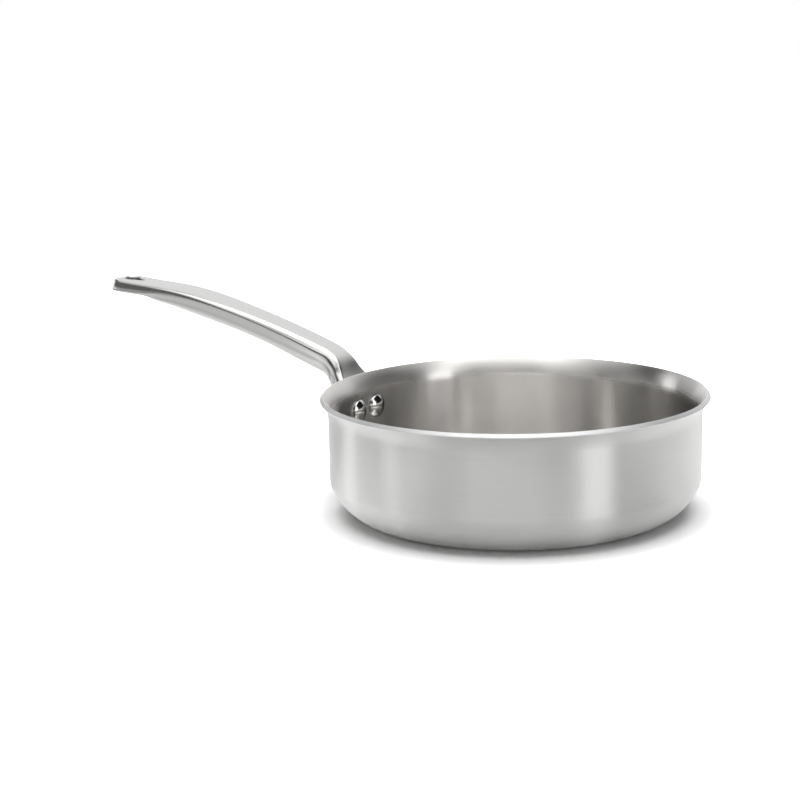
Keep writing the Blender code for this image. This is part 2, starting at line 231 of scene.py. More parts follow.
def castSteel(name, colour, roughness, gritDepth):
    material, tree, shader = steelTree(name, colour, roughness, 0)
    place = addNode(tree, "ShaderNodeTexCoord")
    grit = addNode(tree, "ShaderNodeTexNoise",
                   {"Vector": place.outputs["Object"], "Scale": 1 / millimetres(castFinish["grit"]),
                    "Detail": 2, "Roughness": 0.6})
    cloud = addNode(tree, "ShaderNodeTexNoise",
                    {"Vector": place.outputs["Object"], "Scale": castFinish["cloudsPerMetre"],
                     "Detail": 2})
    spread = addNode(tree, "ShaderNodeMapRange",
                     {"Value": cloud.outputs["Fac"], "From Min": noiseLow, "From Max": noiseHigh,
                      "To Min": roughness * (1 - castFinish["cloudSpread"]),
                      "To Max": roughness * (1 + castFinish["cloudSpread"])})
    tree.links.new(spread.outputs["Result"], shader.inputs["Roughness"])
    bump = addNode(tree, "ShaderNodeBump",
                   {"Strength": gritDepth, "Distance": bumpHeight, "Height": grit.outputs["Fac"]})
    tree.links.new(bump.outputs["Normal"], shader.inputs["Normal"])
    return material


# Rivets of polished stainless steel, with the odd hair scratch
rivetFinish = {
    "colour": "#D3D3D1",
    "roughness": 0.08,            # plain value; the render goes by the next two
    "scratched": (0.06, 0.13),    # roughness between and in the scratches
    "scratchStart": 0.35,         # level of the noise at which a scratch starts
    "scratchesPerMetre": 700,
}


def polishedSteel():
    low, high = rivetFinish["scratched"]
    material, tree, shader = steelTree("polishedSteel", rivetFinish["colour"],
                                       rivetFinish["roughness"], 0)
    place = addNode(tree, "ShaderNodeTexCoord")
    hair = addNode(tree, "ShaderNodeTexNoise",
                   {"Vector": place.outputs["Object"], "Scale": rivetFinish["scratchesPerMetre"],
                    "Detail": 3, "Distortion": 2})
    spread = addNode(tree, "ShaderNodeMapRange",
                     {"Value": hair.outputs["Fac"], "From Min": rivetFinish["scratchStart"],
                      "From Max": noiseHigh, "To Min": low, "To Max": high})
    tree.links.new(spread.outputs["Result"], shader.inputs["Roughness"])
    return material


steelOutside = brushedSteel("brushedSteel", brushing)
steelInside = brushedSteel("fineBrushedSteel", cookingFinish)
groundSteel = groundMetal("groundSteel", groundEdge["steel"])
aluminium = groundMetal("trimmedAluminium", groundEdge["aluminium"])
satinTop = castSteel("satinCastSteel", castFinish["satin"], castFinish["satinRoughness"],
                     castFinish["gritDepth"])
polishedSide = castSteel("polishedCastSteel", castFinish["polished"],
                         castFinish["polishedRoughness"], castFinish["sideGritDepth"])
rivetSteel = polishedSteel()
print("materials made")


# Turned pieces: a profile of radius and height, swept round the axis

ringRadius = 0.1    # m, of the circle swept along; the profile is moved back by as much


def turningTree():
    tree = bpy.data.node_groups.new("turned round the axis", "GeometryNodeTree")
    sockets = {}
    for name, kind in (("Profile", "Geometry"), ("Segments", "Int"), ("Ring Radius", "Float"),
                       ("Turn", "Vector"), ("Move", "Vector"), ("Finish", "Material")):
        sockets[name] = tree.interface.new_socket(name, in_out="INPUT",
                                                  socket_type="NodeSocket" + kind)
    tree.interface.new_socket("Turned", in_out="OUTPUT", socket_type="NodeSocketGeometry")
    given = addNode(tree, "NodeGroupInput").outputs
    circle = addNode(tree, "GeometryNodeCurvePrimitiveCircle",
                     {"Resolution": given["Segments"], "Radius": given["Ring Radius"]})
    upright = addNode(tree, "GeometryNodeSetCurveNormal", {"Curve": circle.outputs["Curve"]},
                      mode="Z_UP")
    back = addNode(tree, "ShaderNodeMath", {0: given["Ring Radius"], 1: -1.0},
                   operation="MULTIPLY")
    offset = addNode(tree, "ShaderNodeCombineXYZ", {"X": back.outputs[0]})
    profile = addNode(tree, "GeometryNodeTransform",
                      {"Geometry": given["Profile"], "Translation": offset.outputs[0]})
    sweep = addNode(tree, "GeometryNodeCurveToMesh",
                    {"Curve": upright.outputs["Curve"],
                     "Profile Curve": profile.outputs["Geometry"]})
    weld = addNode(tree, "GeometryNodeMergeByDistance",
                   {"Geometry": sweep.outputs["Mesh"], "Distance": weldDistance})
    placed = addNode(tree, "GeometryNodeTransform",
                     {"Geometry": weld.outputs["Geometry"], "Translation": given["Move"],
                      "Rotation": given["Turn"]})
    whole = addNode(tree, "GeometryNodeRealizeInstances", {"Geometry": placed.outputs["Geometry"]})
    dressed = addNode(tree, "GeometryNodeSetMaterial",
                      {"Geometry": whole.outputs["Geometry"], "Material": given["Finish"]})
    addNode(tree, "NodeGroupOutput", {0: dressed.outputs["Geometry"]})
    return tree, {name: socket.identifier for name, socket in sockets.items()}


turning, turningInputs = turningTree()


def turnedPiece(name, profile, finish, segments, turn=(0, 0, 0), move=(0, 0, 0)):
    # profile is a closed or open line of (radius, height) points in metres
    curve = bpy.data.curves.new(name, "CURVE")
    curve.dimensions = "3D"
    line = curve.splines.new("POLY")
    line.points.add(len(profile) - 1)
    for point, (radius, height) in zip(line.points, profile):
        point.co = (radius, -height, 0, 1)
    rough = addObject(name + "Profile", curve)
    modifier = rough.modifiers.new("turning", "NODES")
    modifier.node_group = turning
    for label, value in (("Segments", segments), ("Ring Radius", ringRadius), ("Turn", turn),
                         ("Move", move), ("Finish", finish)):
        modifier[turningInputs[label]] = value
    return addObject(name + "Rough", plainMesh(rough))


# Body: three plies pressed as one sheet, along one base, corner, wall and lip

body = {
    "wallRadius": 120.0,     # mm, outer face
    "height": 77.4,
    "baseRadius": 97.3,
    "cornerHeight": 24.2,
    "cornerWeight": 0.43,    # fullness of the corner's conic
    "lipRadius": 14.6,
    "lipAngle": 50,
    "outerPly": 0.75,
    "corePly": 1.60,
    "innerPly": 0.75,
    "seam": 0.03,            # between two plies, a hair line at the lip
    "rimRound": 0.45,        # rounding of the lip's trimmed edge
    "segments": 288,
    "cornerSteps": 26,
    "lipSteps": 16,
    "rimSteps": 8,
    "crease": 50,            # degrees; a sharper edge stays sharp
}
wallThickness = body["outerPly"] + body["corePly"] + body["innerPly"]


def cornerPoints():
    # The rounded corner as a conic, from the base up to the wall, with its inward normals
    start = Vector((body["baseRadius"], 0))
    knee = Vector((body["wallRadius"], 0))
    end = Vector((body["wallRadius"], body["cornerHeight"]))
    points = []
    for i in range(body["cornerSteps"] + 1):
        t = i / body["cornerSteps"]
        a, b, c = (1 - t) ** 2, 2 * t * (1 - t) * body["cornerWeight"], t ** 2
        point = (a * start + b * knee + c * end) / (a + b + c)
        da, db, dc = -2 * (1 - t), 2 * (1 - 2 * t) * body["cornerWeight"], 2 * t
        run = (da * start + db * knee + dc * end) - (da + db + dc) * point
        run.normalize()
        points.append((point, Vector((-run.y, run.x))))
    return points


def rimSetback(inset):
    # How far the rounded rim falls short of the trimmed edge, at a depth inside the wall
    depth = min(inset, wallThickness - inset)
    short = max(body["rimRound"] - depth, 0)
    return body["rimRound"] - sqrt(body["rimRound"] ** 2 - short ** 2)


def lipPoint(inset, turn):
    lipAngle = radians(body["lipAngle"])
    reach = body["lipRadius"] + inset
    start = body["height"] - (body["lipRadius"] + wallThickness) * sin(lipAngle)
    return (body["wallRadius"] + body["lipRadius"] - reach * cos(turn), start + reach * sin(turn))


def rimPoint(inset):
    reach = body["lipRadius"] + inset
    return lipPoint(inset, radians(body["lipAngle"]) - rimSetback(inset) / reach)


def bodyFace(inset):
    # One face of the wall, from the axis out along the base and up to the rim
    points = [(0.0, inset)]
    points += [tuple(point + normal * inset) for point, normal in cornerPoints()]
    last = radians(body["lipAngle"]) - rimSetback(inset) / (body["lipRadius"] + inset)
    points += [lipPoint(inset, last * i / body["lipSteps"]) for i in range(body["lipSteps"] + 1)]
    return points


def plyProfile(outside, inside):
    # A ply as a closed line: its outer face, the rim and its inner face
    steps = body["rimSteps"]
    rim = [rimPoint(outside + (inside - outside) * i / steps) for i in range(1, steps)]
    points = bodyFace(outside) + rim + bodyFace(inside)[::-1]
    return [(millimetres(r), millimetres(h)) for r, h in points]


coreStart = body["outerPly"]
coreEnd = coreStart + body["corePly"]
halfSeam = body["seam"] / 2
# name: node, material slot, finish, and the depths in the wall of its outer and inner face
plies = {
    "outer_wall": ("outer_ply", "brushed_steel", steelOutside, 0, coreStart - halfSeam),
    "aluminium_core": ("core_ply", "aluminium_core", aluminium,
                       coreStart + halfSeam, coreEnd - halfSeam),
    "cooking_surface": ("inner_ply", "cooking_steel", steelInside,
                        coreEnd + halfSeam, wallThickness),
}


# Rivets: a domed head inside the pan, a stem through the wall and a formed tail outside

rivet = {
    "pitch": 20.6,           # mm along the wall
    "drop": 23.4,            # below the top of the lip
    "stemRadius": 3.0,
    "headRadius": 7.7,
    "headHeight": 3.9,
    "headRoll": 0.9,         # rounding of the head's border
    "headEdge": 0.4,         # straight edge under it
    "headGap": 0.05,         # between that edge and the round wall, where they come closest
    "tailRadius": 5.2,
    "tailHeight": 2.1,
    "tailRoll": 0.6,
    "tailEdge": 0.3,
    "fitGap": 0.3,
    "flangeThickness": 3.6,  # of the handle's flange, which the rivets hold
    "segments": 72,
    "domeSteps": 14,
    "rollSteps": 8,
    "crease": 40,            # degrees
}


def domePoints(part):
    # (radius, rise) over a domed end: its straight edge, its rolled border and the ball that the
    # border runs into
    radius, height = rivet[part + "Radius"], rivet[part + "Height"]
    roll, edge = rivet[part + "Roll"], rivet[part + "Edge"]
    rise = height - edge
    ball = ((radius - roll) ** 2 + rise ** 2 - roll ** 2) / (2 * (rise - roll))
    meet = asin((radius - roll) / (ball - roll))
    points = []
    for i in range(rivet["rollSteps"]):
        a = pi / 2 + (meet - pi / 2) * i / rivet["rollSteps"]
        points.append((radius - roll + roll * sin(a), edge + roll * cos(a)))
    for i in range(rivet["domeSteps"]):
        a = meet * (1 - i / rivet["domeSteps"])
        points.append((ball * sin(a), height - ball * (1 - cos(a))))
    return points + [(0.0, height)]


def rivetProfile():
    # The whole rivet, from the top of its head to the top of its tail
    innerRadius = body["wallRadius"] - wallThickness
    headSeat = sqrt(innerRadius ** 2 - rivet["headRadius"] ** 2) - rivet["headGap"]
    tailSeat = body["wallRadius"] + rivet["flangeThickness"] + 2 * rivet["fitGap"]
    stem = [(rivet["headRadius"], headSeat), (rivet["stemRadius"], headSeat),
            (rivet["stemRadius"], tailSeat), (rivet["tailRadius"], tailSeat)]
    points = ([(r, headSeat - rise) for r, rise in domePoints("head")[::-1]] + stem
              + [(r, tailSeat + rise) for r, rise in domePoints("tail")])
    return [(millimetres(r), millimetres(h)) for r, h in points]


halfPitch = rivet["pitch"] / 2 / body["wallRadius"]
rivetHeight = millimetres(body["height"] - rivet["drop"])


def cutter(name, rows, place):
    # A closed plug through rows of points, each row one level of it
    mesh = bpy.data.meshes.new(name)
    work = bmesh.new()
    loops = [[work.verts.new(Vector(point) / 1000) for point in row] for row in rows]
    count = len(loops[0])
    for low, high in zip(loops, loops[1:]):
        for i in range(count):
            j = (i + 1) % count
            work.faces.new((low[i], low[j], high[j], high[i]))
    work.faces.new(loops[0])
    work.faces.new(loops[-1])
    for face in work.faces:
        face.material_index = 1      # the polished finish, where the piece has two
    bmesh.ops.recalc_face_normals(work, faces=work.faces)
    work.to_mesh(mesh)
    work.free()
    plug = addObject(name, mesh)
    plug.matrix_world = place
    return plug


def rivetHole(name, angle):
    # Round plug that reaches well past the wall and the flange on both sides
    radius = rivet["stemRadius"] + rivet["fitGap"]
    steps = rivet["segments"]
    turns = [tau * i / steps for i in range(steps)]
    rows = [[(radius * cos(a), radius * sin(a), z) for a in turns]
            for z in (body["wallRadius"] - 3 * wallThickness,
                      body["wallRadius"] + 3 * rivet["flangeThickness"])]
    place = (Matrix.Translation((0, 0, rivetHeight)) @ Matrix.Rotation(angle, 4, "Z")
             @ Matrix.Rotation(pi / 2, 4, "Y"))
    return cutter(name, rows, place)


def cutHoles(rough, plugs):
    for plug in plugs:
        cut = rough.modifiers.new(plug.name, "BOOLEAN")
        cut.operation = "DIFFERENCE"
        cut.solver = "EXACT"
        cut.object = plug


def grindEdge(mesh, finish):
    # The ground finish goes on the faces at the end of the lip's bend
    mesh.materials.append(finish)
    centre = body["wallRadius"] + body["lipRadius"]
    start = lipPoint(0, 0)[1]
    ground = body["lipAngle"] - groundEdge["turn"]
    for face in mesh.polygons:
        radius = face.center.xy.length * 1000
        rise = face.center.z * 1000 - start
        face.material_index = int(degrees(atan2(rise, centre - radius)) > ground)


rivetHoles = [rivetHole("leftHole", pi + halfPitch), rivetHole("rightHole", pi - halfPitch)]
for name, (node, slotName, finish, outside, inside) in plies.items():
    rough = turnedPiece(name, plyProfile(outside, inside), finish, body["segments"])
    if finish is not aluminium:
        grindEdge(rough.data, groundSteel)
    cutHoles(rough, rivetHoles)
    finishPiece(rough, name, node, body["crease"])
print("body made")

for name, node, angle in (("left_rivet", "rivet_left", pi + halfPitch),
                          ("right_rivet", "rivet_right", pi - halfPitch)):
    rough = turnedPiece(name, rivetProfile(), rivetSteel, rivet["segments"],
                        turn=(0, pi / 2, angle), move=(0, 0, rivetHeight))
    finishPiece(rough, name, node, rivet["crease"])
print("rivets made")


# Handle: a casting lofted through sections along the line of its top face

handle = {
    "flangeSide": 8.2,       # mm, rivet to the side edge
    "flangeLow": 12.0,       # rivets down to the lower edge
    "flangeRound": 10.0,     # length of the rounded lower end
    "flangeFullness": 2.5,   # 2 is a round end, more is squarer
    "flangeEdge": 0.8,       # rounding of the flange's edges
    "lipClearance": 1.6,
    "tipRound": 10.0,
    "tipFullness": 2.7,
    "holeSetback": 10.8,     # tip to the middle of the hole's bow
    "holeRadius": 5.6,
    "holePoint": 11.5,       # that middle to the hole's point
    "holePointRadius": 1.2,
    "holeEdge": 0.8,         # rounding of the hole's mouths
    "tiltReach": 15.0,       # each section leans to the mean slope of this much on either side
    "tiltSteps": 6,
    "stretchSteps": 48,
    "sectionSpacing": 1.2,
    "endSteps": 22,          # sections in each rounded end,
    "endTurn": 84,           # degrees of its curve that they reach
    "crease": 32,            # degrees
}
flangeRadius = body["wallRadius"] + rivet["fitGap"]
flangeTop = rivet["pitch"] / 2 + handle["flangeSide"] - handle["flangeEdge"]
flangeWall = rivet["flangeThickness"] - 2 * handle["flangeEdge"]

# Each section: the run from the one before, the slope there, half the flat top, its crown, the
# shoulder out and down and its fullness (below 2 it is a bevel, at 2 a round), the upright wall,
# the side that draws in by draft over its height, the depth to the belly, the belly's
# squareness, and how far the section wraps round the wall.
sectionNames = "run slope top crown out drop bevel wall draft side depth square wrap".split()
flangeSection = (flangeTop, 0, handle["flangeEdge"], handle["flangeEdge"], 2, flangeWall, 0, 0,
                 rivet["flangeThickness"], 6, 1)
sections = [dict(zip(sectionNames, row)) for row in (
    (0, 90, *flangeSection),
    (None, 90, *flangeSection),
    (12.0, 50, 14.2, 0, 2.2, 2.8, 2.0, 1.0, 0.6, 2.4, 10.5, 3.0, 0.8),
    (12.5, 64, 9.3, 0, 3.8, 4.6, 1.7, 0.5, 0.9, 2.6, 17.0, 2.3, 0.2),
    (12.0, 32, 7.6, 0, 4.3, 5.4, 1.5, 0.4, 1.0, 2.3, 19.0, 2.2, 0),
    (10.5, 18.5, 7.9, 0, 4.4, 4.6, 1.4, 0.4, 1.0, 3.4, 19.0, 2.2, 0),
    (52.0, 15.0, 8.5, 0, 4.1, 3.6, 1.4, 0.4, 1.0, 5.0, 17.2, 2.2, 0),
    (50.0, 11.3, 10.3, 0, 3.5, 3.1, 1.5, 0.6, 0.9, 4.4, 16.6, 2.3, 0),
    (42.5, 3.4, 12.1, 0.3, 2.9, 3.8, 1.8, 0.9, 0.8, 2.6, 12.4, 2.6, 0),
    (17.5, 3.4, 12.5, 0.5, 3.1, 5.4, 1.6, 0.6, 0.4, 0.8, 8.0, 3.2, 0),
    (31.2, 6.0, 12.7, 0.6, 3.3, 6.8, 1.5, 0.4, 0.1, 0.3, 8.2, 4.0, 0),
)]


def smoothThrough(places, values):
    # A curve through the values at their places that never swings past them
    rises = [(b - a) / (q - p) for a, b, p, q in zip(values, values[1:], places, places[1:])]
    tangents = [rises[0]]
    for left, right in zip(rises, rises[1:]):
        tangents.append(0 if left * right <= 0 else 2 * left * right / (left + right))
    tangents.append(rises[-1])

    def at(place):
        i = max(k for k in range(len(places) - 1) if places[k] <= place or k == 0)
        span = places[i + 1] - places[i]
        t = min(max((place - places[i]) / span, 0), 1)
        return ((1 + 2 * t) * (1 - t) ** 2 * values[i] + t * (1 - t) ** 2 * span * tangents[i]
                + t * t * (3 - 2 * t) * values[i + 1] - t * t * (1 - t) * span * tangents[i + 1])
    return at


def traceSpine(start, runs, slopes):
    # (reach, height, slope, length so far) along the top face; the slope turns evenly in a run
    reach, height, length = *start, 0
    points = [(reach, height, slopes[0], 0)]
    for run, low, high in zip(runs, slopes, slopes[1:]):
        step = run / handle["stretchSteps"]
        turn = (high - low) / handle["stretchSteps"]
        for i in range(handle["stretchSteps"]):
            slope = low + turn * (i + 0.5)
            reach += step * cos(slope)
            height += step * sin(slope)
            length += step
            points.append((reach, height, low + turn * (i + 1), length))
    return points


slopes = [radians(s["slope"]) for s in sections]
freeRuns = [s["run"] for s in sections[2:]]
lipEdge = lipPoint(0, radians(body["lipAngle"]))


def flangeTopHeight():
    # Sets the bend out of the flange so low that the handle passes the lip at its clearance
    free = traceSpine((flangeRadius, 0), freeRuns, slopes[1:])
    target = lipEdge[0] + handle["lipClearance"]
    for (r0, h0, _, _), (r1, h1, _, _) in zip(free, free[1:]):
        if r0 <= target <= r1:
            return lipEdge[1] - (h0 + (h1 - h0) * (target - r0) / (r1 - r0))


flangeBottom = body["height"] - rivet["drop"] - handle["flangeLow"]
runs = [flangeTopHeight() - flangeBottom] + freeRuns
spine = traceSpine((flangeRadius, flangeBottom), runs, slopes)
spineLength = sum(runs)
places = [sum(runs[:i]) for i in range(len(sections))]
fieldCurves = {name: smoothThrough(places, [s[name] for s in sections])
               for name in sectionNames[2:]}


def sectionAt(length):
    return {name: curve(length) for name, curve in fieldCurves.items()}


def spineAt(length):
    for a, b in zip(spine, spine[1:]):
        if a[3] <= length <= b[3] + 1e-6:
            t = (length - a[3]) / (b[3] - a[3])
            return tuple(p + (q - p) * t for p, q in zip(a[:3], b[:3]))


def meanSlope(length):
    # Sections that lean this way don't crowd together under the bend
    reach, steps = handle["tiltReach"], handle["tiltSteps"]
    spots = [min(max(length + reach * k / steps, 0), spineLength)
             for k in range(-steps, steps + 1)]
    return sum(spineAt(spot)[2] for spot in spots) / len(spots)


def halfOutline(s):
    # (across, down) points from the middle of the top face to the middle of the belly, and how
    # many of them belong to the satin top
    topSteps, shoulderSteps, sideSteps, bellySteps = 8, 12, 4, 22
    points = []
    for i in range(topSteps + 1):
        share = i / topSteps
        points.append((s["top"] * share, -s["crown"] * (1 - share ** 2)))
    for i in range(1, shoulderSteps + 1):
        a = pi / 2 * i / shoulderSteps
        points.append((s["top"] + s["out"] * sin(a) ** (2 / s["bevel"]),
                       s["drop"] * (1 - max(cos(a), 0) ** (2 / s["bevel"]))))
    wide = s["top"] + s["out"]
    low = s["drop"] + s["wall"]
    points.append((wide, low))
    for i in range(1, sideSteps):
        points.append((wide - s["draft"] * i / sideSteps, low + s["side"] * i / sideSteps))
    wide -= s["draft"]
    low += s["side"]
    for i in range(bellySteps + 1):
        a = pi / 2 * i / bellySteps
        points.append((wide * max(cos(a), 0) ** (2 / s["square"]),
                       low + (s["depth"] - low) * sin(a) ** (2 / s["square"])))
    points[-1] = (0, s["depth"])
    return points, topSteps


def endRounding(length):
    # Share of the full width at the rounded ends
    share = 1.0
    for rest, size, power in ((length, handle["flangeRound"], handle["flangeFullness"]),
                              (spineLength - length, handle["tipRound"], handle["tipFullness"])):
        if rest < size:
            share *= max(1 - (1 - rest / size) ** power, 0) ** (1 / power)
    return share


def sectionLengths():
    # Where the sections lie: close together in the rounded ends, evenly between them
    last, steps = radians(handle["endTurn"]), handle["endSteps"]

    def end(size, power):
        turns = [last * i / steps for i in range(steps, 0, -1)]
        return [size * (1 - sin(t) ** (2 / power)) for t in turns]

    low = end(handle["flangeRound"], handle["flangeFullness"])
    high = end(handle["tipRound"], handle["tipFullness"])
    middle = spineLength - handle["flangeRound"] - handle["tipRound"]
    count = round(middle / handle["sectionSpacing"])
    steady = [handle["flangeRound"] + middle * i / count for i in range(count + 1)]
    return low + steady + [spineLength - rest for rest in high[::-1]]


def handlePoint(stance, across, down, wrap):
    # Puts a point of a section in its place, flat or wrapped round the wall
    reach, height, lean = stance
    radius = reach + down * sin(lean)
    rise = height - down * cos(lean)
    angle = across / flangeRadius
    flat = Vector((-radius, across, rise))
    bent = Vector((-radius * cos(angle), radius * sin(angle), rise))
    return flat.lerp(bent, wrap) / 1000


def handleShape():
    mesh = bpy.data.meshes.new("castHandle")
    mesh.materials.append(satinTop)
    mesh.materials.append(polishedSide)
    work = bmesh.new()
    rows = []
    for length in sectionLengths():
        section = sectionAt(length)
        half, topCount = halfOutline(section)
        outline = half + [(-across, down) for across, down in half[-2:0:-1]]
        share = endRounding(length)
        rest = min((spineLength - length) / section["out"], 1)
        rolled = 1 - sqrt(1 - (1 - rest) ** 2)      # the top rolls over at the very tip
        top = rolled * (section["drop"] + section["crown"]) - section["crown"]
        stance = (*spineAt(length)[:2], meanSlope(length))
        points = [handlePoint(stance, across * share, max(down, top), section["wrap"])
                  for across, down in outline]
        rows.append([work.verts.new(point) for point in points])
    count = len(rows[0])
    for low, high in zip(rows, rows[1:]):
        for i in range(count):
            j = (i + 1) % count
            face = work.faces.new((low[i], low[j], high[j], high[i]))
            face.material_index = 0 if i < topCount or i >= count - topCount else 1
    for end in (rows[0], rows[-1]):
        work.faces.new(end).material_index = 1
    bmesh.ops.recalc_face_normals(work, faces=work.faces)
    work.to_mesh(mesh)
    work.free()
    return mesh


def teardrop(grow):
    # Outline of the hanging hole, grown by a margin, with its point towards the pan
    radius, pointRadius = handle["holeRadius"] + grow, handle["holePointRadius"] + grow
    middle = handle["holePoint"] - handle["holePointRadius"]
    lean = acos((radius - pointRadius) / middle)
    bowSteps, pointSteps = 56, 14
    outline = []
    for i in range(bowSteps + 1):
        a = lean + 2 * (pi - lean) * i / bowSteps
        outline.append((radius * cos(a), radius * sin(a)))
    for i in range(pointSteps + 1):
        a = 2 * lean * i / pointSteps - lean
        outline.append((middle + pointRadius * cos(a), pointRadius * sin(a)))
    return outline


def hangingHole():
    # The hole with its mouths rounded over, as a stack of teardrops
    length = spineLength - handle["holeSetback"]
    reach, height, slope = spineAt(length)
    section = sectionAt(length)
    over, steps, past = handle["holeEdge"], 6, 2
    top, bottom = section["crown"], -section["depth"]
    turns = [pi / 2 * i / steps for i in range(steps + 1)]
    bend = [(over * (1 - cos(a)), over * (1 - sin(a))) for a in turns]
    levels = [(bottom - past, over)] + [(bottom + rise, grow) for rise, grow in bend]
    levels += [(top - rise, grow) for rise, grow in bend[::-1]] + [(top + past, over)]
    rows = [[(x, y, z) for x, y in teardrop(grow)] for z, grow in levels]
    place = (Matrix.Translation((-reach / 1000, 0, height / 1000))
             @ Matrix.Rotation(slope, 4, "Y"))
    return cutter("hangingHole", rows, place)


rough = addObject("roughHandle", handleShape())
plugs = [hangingHole(), *rivetHoles]
cutHoles(rough, plugs)
finishPiece(rough, "cast_handle", "handle", handle["crease"])
for plug in plugs:
    bpy.data.objects.remove(plug)
print("handle made")


# Studio: a pale table under a soft overhead lamp, in a dim room with a backdrop, softboxes and
# scrims for the steel to mirror

studio = {
    "floorRadius": 6.0,      # m
    "floorNear": 1.1,        # tone of the floor under the pan's shadow
    "floorOpenPaintedLight": 2.2,        # and further out: painted light, where it keeps the handle's shadow white
    "floorEnds": (0.108, 0.168),  # m from the middle of the pan
    "tableClosePaintedLight": 1.1,       # painted light and shade on the table, as the steel sees it: close round the base,
    "tableFront": 0.75,      # beside the pan in front,
    "tableLeft": 1.35,       # beside the pan to the left,
    "tableSides": 1.2,       # beside the pan elsewhere,
    "tablePaintedLight": 1.3,      # further out to the right and behind,
    "tablePaintedShade": 0.7,         # further out in front of the handle,
    "tableFar": 0.3,         # and at its far edge
    "closeEnds": (0.118, 0.16),
    "nearEnds": (0.20, 0.38),
    "tableEnds": (0.50, 0.95),
    "frontSide": 300,        # degrees
    "leftSide": 229,
    "dimSide": 262,
    "frontFade": (0.2, 0.9),      # cosines of the angle from that side, at no effect and at full
    "leftFade": (0.72, 0.97),
    "dimFade": (-0.1, 0.6),
    "room": 0.015,
    "lampAngle": 64,         # degrees across, for the overhead lamp that casts the shadow
    "lampTilt": 3.5,         # degrees off the vertical,
    "lampSide": 110,         # from this side
}
# name: azimuth of its middle and half its width (180 goes all round), lowest and highest
# elevation, brightness, and the degrees over which it fades at its edges
softboxes = {
    "backdrop": (109, 40, -9, 68, 1.0, 4),
    "lowRight": (40, 28, -9, 8, 0.9, 3),
    "rightFill": (2, 6, -9, 26, 0.5, 3),
    "leftStrip": (182, 7, -9, 28, 2.1, 2.5),
    "leftLow": (162, 9, -9, 28, 0.6, 3),
    "lowLeft": (211, 17, -9, 12, 1.1, 3),
    "leftFill": (222, 18, 10, 54, 0.12, 5),
    "frontLow": (298, 20, -9, 7, 1.3, 8),
    "rightSoftbox": (351.5, 8.5, -9, 30, 2.35, 2.5),
    "rightUpper": (349, 9, 30, 58, 1.4, 4),
    "frontUpper": (305, 34, 46, 68, 0.9, 5),
    "handleUpper": (258, 17, 38, 68, 1.4, 4),
    "upperLeft": (197, 35, 51, 68, 1.5, 4),
    "upperRight": (28, 45, 50, 68, 1.2, 5),
    "overhead": (0, 180, 68, 80, 3.6, 4),
    "zenith": (0, 180, 80, 90, 2.9, 4),
}
# name: first and last azimuth, distance, lowest and highest edge in m, brightness
scrims = {
    "lowScrim": (222, 241, 0.85, 0.01, 0.15, 1.2),
    "leftScrim": (241, 285, 0.85, 0.01, 0.39, 0.9),
    "rightScrim": (285, 341, 0.85, 0.01, 0.37, 0.84),
}


def studioFloor():
    # The table, in one tone for the camera, painted lighter further out, and in tones of painted
    # light and shade for what the steel mirrors
    mesh = bpy.data.meshes.new("floor")
    work = bmesh.new()
    bmesh.ops.create_circle(work, cap_ends=True, segments=96, radius=studio["floorRadius"])
    work.to_mesh(mesh)
    work.free()
    material = bpy.data.materials.new("paleFloor")
    material.use_nodes = True
    tree = material.node_tree
    tree.nodes.clear()
    path = addNode(tree, "ShaderNodeLightPath")
    place = addNode(tree, "ShaderNodeTexCoord")
    spot = place.outputs["Object"]
    length = addNode(tree, "ShaderNodeVectorMath", {0: spot}, operation="LENGTH")
    heading = addNode(tree, "ShaderNodeVectorMath", {0: spot}, operation="NORMALIZE")
    distance = length.outputs["Value"]

    def blend(value, ends, start, end):
        # From start to end, as the value goes from the first to the second of its ends
        return addNode(tree, "ShaderNodeMapRange",
                       {"Value": value, "From Min": studio[ends][0], "From Max": studio[ends][1],
                        "To Min": start, "To Max": end},
                       interpolation_type="SMOOTHSTEP").outputs["Result"]

    def facing(side):
        a = radians(studio[side])
        return addNode(tree, "ShaderNodeVectorMath",
                       {0: heading.outputs[0], 1: (cos(a), sin(a), 0)},
                       operation="DOT_PRODUCT").outputs["Value"]

    # Painted light and shade, seen only in the steel: the table is lighter close round the base in
    # the pan's shadow, to the left and further out behind, and darker in front and at its far edge
    beside = blend(facing("frontSide"), "frontFade", studio["tableSides"], studio["tableFront"])
    further = blend(facing("dimSide"), "dimFade", studio["tablePaintedLight"], studio["tablePaintedShade"])
    beside = blend(distance, "closeEnds", studio["tableClosePaintedLight"], beside)
    beside = blend(facing("leftSide"), "leftFade", beside, studio["tableLeft"])
    tone = blend(distance, "nearEnds", beside, further)
    tone = blend(distance, "tableEnds", tone, studio["tableFar"])
    # Painted light: the floor's tone for the camera rises away from the pan, so the handle's shadow
    # clips to white
    white = blend(distance, "floorEnds", studio["floorNear"], studio["floorOpenPaintedLight"])
    seen = addNode(tree, "ShaderNodeBsdfDiffuse", {"Color": white})
    mirroredPaintedLight = addNode(tree, "ShaderNodeBsdfDiffuse", {"Color": tone})
    both = addNode(tree, "ShaderNodeMixShader",
                   {0: path.outputs["Is Glossy Ray"], 1: seen.outputs[0], 2: mirroredPaintedLight.outputs[0]})
    addNode(tree, "ShaderNodeOutputMaterial", {"Surface": both.outputs[0]})
    mesh.materials.append(material)
    floor = addObject("floor", mesh)


